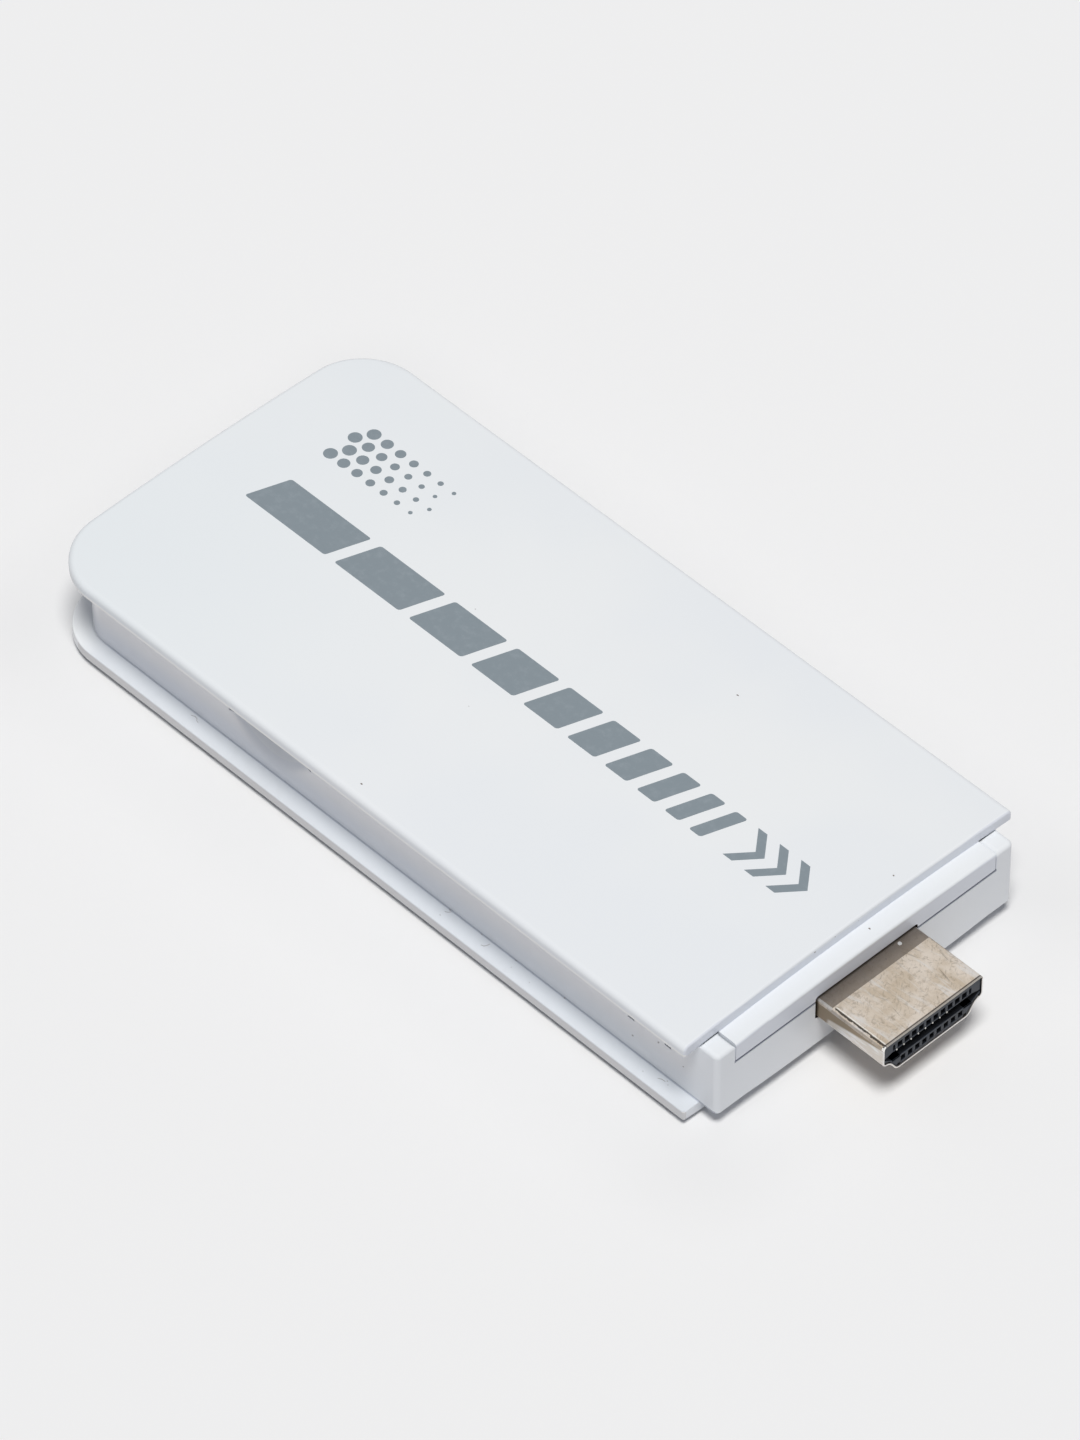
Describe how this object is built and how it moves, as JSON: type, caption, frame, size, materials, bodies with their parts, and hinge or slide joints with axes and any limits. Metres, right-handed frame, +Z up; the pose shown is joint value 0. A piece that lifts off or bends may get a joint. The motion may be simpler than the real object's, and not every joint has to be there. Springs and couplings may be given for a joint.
{
  "type": "hdmi game stick",
  "caption": "Flat white stick that plugs into a television by its own HDMI plug and plays games from a small card in its side.",
  "frame": {"origin": "middle of the footprint, on the surface that the stick lies on", "axes": "+X out of the HDMI plug, +Y across towards the power receptacle, +Z up through the top cover"},
  "size_m": [0.1054, 0.0456, 0.0121],
  "materials": {
    "white_plastic": "satin white moulded",
    "board_laminate": "green solder mask",
    "steel_screws": "zinc plated",
    "chip_epoxy": "moulded epoxy",
    "silicone_pad": "soft silicone",
    "bare_aluminium": "extruded",
    "can_metal": "bright nickel",
    "ferrite": "ground ferrite",
    "ceramic_body": "fired",
    "nickel_plate": "nickel plated sheet",
    "black_insulator": "moulded",
    "gold_contact": "gold flash",
    "slider_plastic": "moulded",
    "spring_steel": "drawn wire",
    "card_plastic": "moulded"
  },
  "bodies": {
    "casing": {"bottom_case": "white_plastic", "top_cover": "white_plastic", "circuit_board": "board_laminate", "board_screws": "steel_screws", "main_processor": "chip_epoxy", "thermal_pad": "silicone_pad", "heat_spreader": "bare_aluminium", "memory_chips": "chip_epoxy", "flash_chip": "chip_epoxy", "crystal_can": "can_metal", "power_inductors": "ferrite", "capacitors": "ceramic_body", "resistors": "chip_epoxy", "regulators": "chip_epoxy", "hdmi_shell": "nickel_plate", "hdmi_insulator": "black_insulator", "hdmi_upper_contacts": "gold_contact", "hdmi_lower_contacts": "gold_contact", "usb_shell": "can_metal", "usb_tongue": "black_insulator", "usb_contacts": "gold_contact", "micro_usb_shell": "can_metal", "micro_usb_tongue": "black_insulator", "micro_usb_contacts": "gold_contact", "card_socket_base": "black_insulator", "card_socket_cover": "can_metal", "card_contacts": "gold_contact", "ejector_spring": "spring_steel"},
    "ejector": {"card_ejector": "slider_plastic"},
    "card": {"memory_card": "card_plastic"}
  },
  "joints": [
    {"name": "ejector_slide", "type": "slide", "parent": "casing", "child": "ejector", "axis": [0, -1, 0], "range_m": [-0.0006, 0.0035], "deforming": ["ejector_spring"]},
    {"name": "card_slide", "type": "slide", "parent": "ejector", "child": "card", "axis": [0, -1, 0], "range_m": [0, 0.016]}
  ]
}
